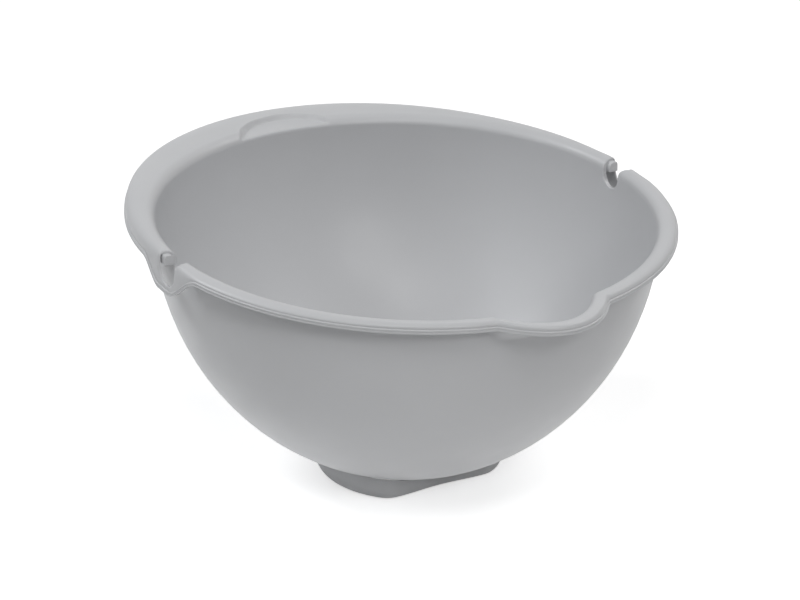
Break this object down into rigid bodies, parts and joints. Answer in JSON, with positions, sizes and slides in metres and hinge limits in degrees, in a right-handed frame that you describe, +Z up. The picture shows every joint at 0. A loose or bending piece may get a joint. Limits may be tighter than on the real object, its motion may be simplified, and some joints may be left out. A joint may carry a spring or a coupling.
{
  "type": "kitchen bowl with pivot slots",
  "caption": "Round moulded mixing bowl with a hollow tilted rim, a wide rim handle, a pouring spout and slots in which a strainer could pivot.",
  "frame": {"origin": "on the table, under the middle of the bowl's overall length and width", "axes": "+Z up, +Y towards the wide rim that is the handle, -Y towards the spout, +X and -X towards the pivot slots"},
  "size_m": [0.2598, 0.2964, 0.1424],
  "materials": {
    "bowl_plastic": "satin, fine moulded grain",
    "foot_rubber": "matt",
    "stop_plastic": "satin"
  },
  "bodies": {
    "root": {"bowl_body": "bowl_plastic", "foot_ring": "foot_rubber", "pivot_stop_right": "stop_plastic", "pivot_stop_left": "stop_plastic"}
  },
  "joints": []
}
